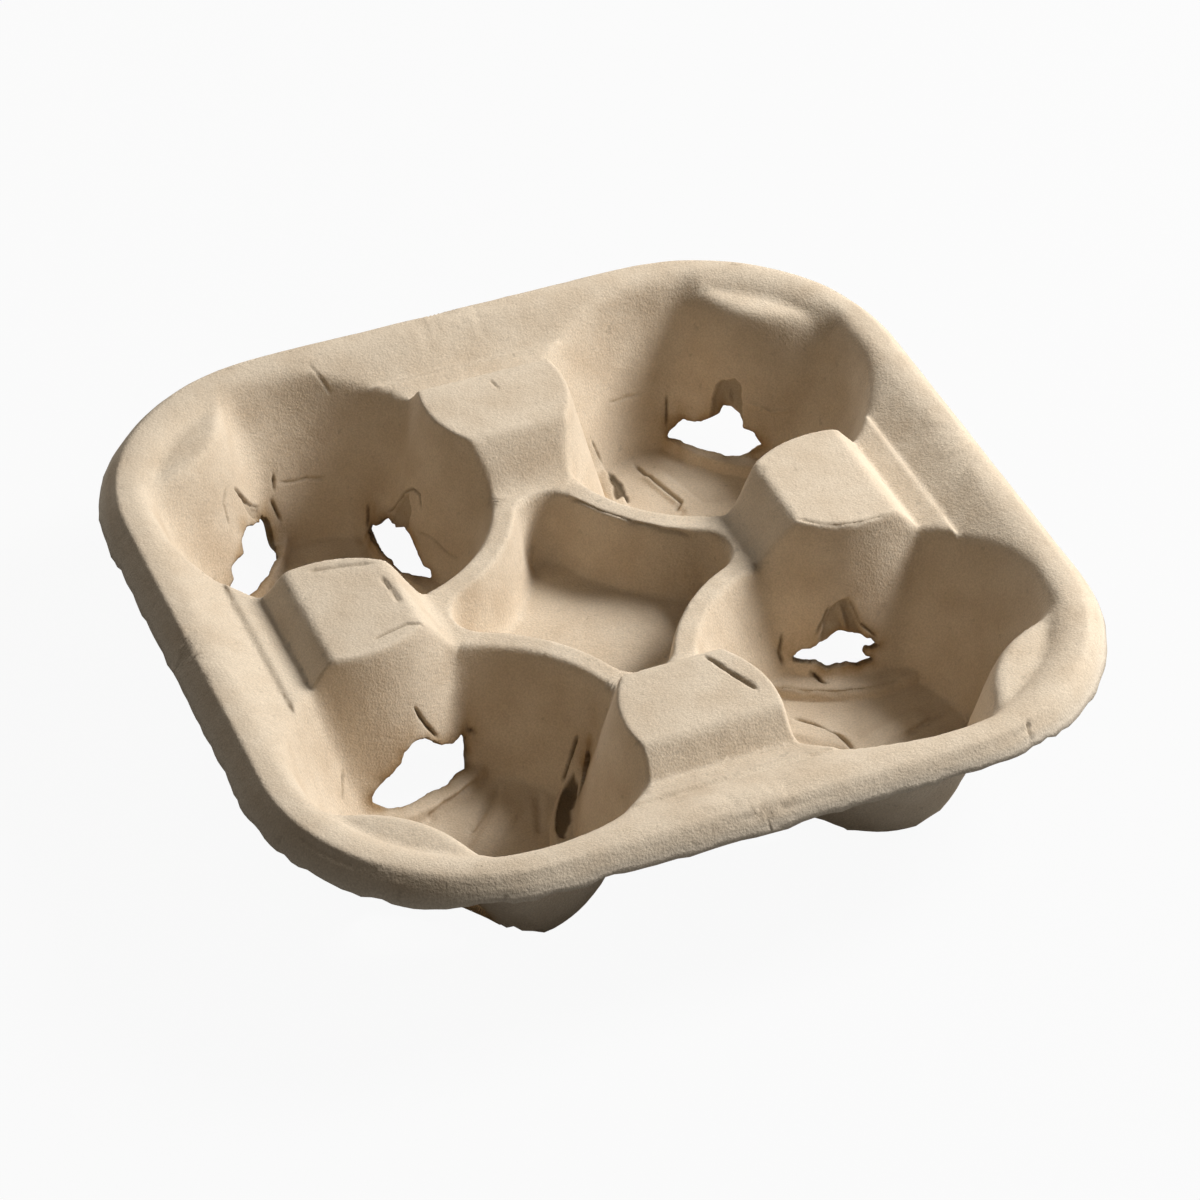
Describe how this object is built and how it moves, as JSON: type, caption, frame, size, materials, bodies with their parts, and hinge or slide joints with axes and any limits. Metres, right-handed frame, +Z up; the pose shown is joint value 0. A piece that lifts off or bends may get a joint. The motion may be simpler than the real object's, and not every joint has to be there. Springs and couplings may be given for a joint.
{
  "type": "moulded pulp cup carrier",
  "caption": "Square moulded-pulp tray with a rolled rim, three-lobed cup wells with torn vent windows, raised posts between them and a star-shaped recess in the middle.",
  "frame": {"origin": "middle of the tray on the plane of the undersides of its feet", "axes": "+Z up towards the mouths of the wells, +X and +Y along two sides of the rim"},
  "size_m": [0.212, 0.212, 0.045],
  "materials": {
    "pulp": "matte, fibrous, uncoated"
  },
  "bodies": {
    "root": {"tray": "pulp"}
  },
  "joints": []
}
